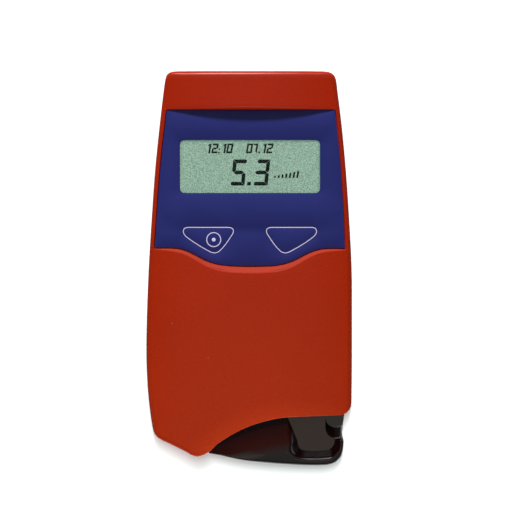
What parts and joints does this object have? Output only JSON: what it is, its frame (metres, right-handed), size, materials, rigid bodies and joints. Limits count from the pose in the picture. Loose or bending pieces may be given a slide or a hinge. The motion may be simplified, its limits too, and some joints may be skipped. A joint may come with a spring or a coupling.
{
  "type": "blood glucose meter",
  "caption": "Handheld cuvette blood glucose meter: waisted two-shell case, recessed display panel with keys, swinging cuvette arm under a scooped lower edge.",
  "frame": {"origin": "centre of the bounding box in plan, on the plane of the feet's undersides; the meter lies on its back", "axes": "+X to the display's right, +Y towards the top end, +Z out of the display"},
  "size_m": [0.084, 0.1606, 0.043],
  "materials": {
    "case_red": "fine satin, injection moulded",
    "panel_blue": "fine matt printed film",
    "display_window": "clear moulded window",
    "display_glass": "grey-green reflective display",
    "white_plastic": "satin",
    "elastomer": "soft",
    "black_plastic": "satin",
    "tinned_metal": "satin",
    "circuit_board": "solder resist",
    "nickel": "bright",
    "led_resin": "clear",
    "clear_glass": "polished",
    "steel": "bright",
    "bush_metal": "turned",
    "arm_black": "polished, injection moulded",
    "cell_wrap": "printed sleeve",
    "rubber": "matt"
  },
  "bodies": {
    "case": {"front_housing": "case_red", "rear_housing": "case_red", "panel_overlay": "panel_blue", "display_lens": "display_window", "lcd_glass": "display_glass", "lcd_frame": "white_plastic", "zebra_connectors": "elastomer", "key_switches": "tinned_metal", "main_board": "circuit_board", "processor_chips": "black_plastic", "buzzer": "black_plastic", "backup_cell": "nickel", "backup_cell_holder": "white_plastic", "power_socket": "black_plastic", "emitter_block": "black_plastic", "emitter_leds": "led_resin", "sensor_board": "circuit_board", "detector_block": "black_plastic", "photodiode": "black_plastic", "optics_window": "clear_glass", "sensor_ribbon": "white_plastic", "ribbon_connectors": "white_plastic", "arm_switch": "black_plastic", "pivot_pin": "steel", "battery_cells": "cell_wrap", "battery_springs": "nickel", "battery_contacts": "nickel", "case_screws": "steel", "board_screws": "steel", "rubber_feet": "rubber"},
    "arm": {"arm_body": "arm_black", "arm_bush": "bush_metal", "arm_base_plate": "arm_black"},
    "catch": {"release_catch": "arm_black"},
    "power_button": {"power_key": "panel_blue", "power_plunger": "black_plastic"},
    "menu_button": {"menu_key": "panel_blue", "menu_plunger": "black_plastic"},
    "cover": {"battery_cover": "case_red"}
  },
  "joints": [
    {"name": "arm_swing", "type": "hinge", "parent": "case", "child": "arm", "pos_m": [-0.0209, -0.069, 0.016], "axis": [0, 0, -1], "range_deg": [0, 32]},
    {"name": "catch_press", "type": "slide", "parent": "arm", "child": "catch", "axis": [-0.6756, -0.7373, 0], "range_m": [0, 0.0012], "stiffness_N_per_m": 300, "springref_m": -0.001},
    {"name": "power_key_press", "type": "slide", "parent": "case", "child": "power_button", "axis": [0, 0, -1], "range_m": [0, 0.0005], "stiffness_N_per_m": 500, "springref_m": -0.001},
    {"name": "menu_key_press", "type": "slide", "parent": "case", "child": "menu_button", "axis": [0, 0, -1], "range_m": [0, 0.0005], "stiffness_N_per_m": 500, "springref_m": -0.001},
    {"name": "battery_cover_swing", "type": "hinge", "parent": "case", "child": "cover", "pos_m": [0, -0.0076, 0.0022], "axis": [-1, 0, 0], "range_deg": [0, 75]}
  ]
}
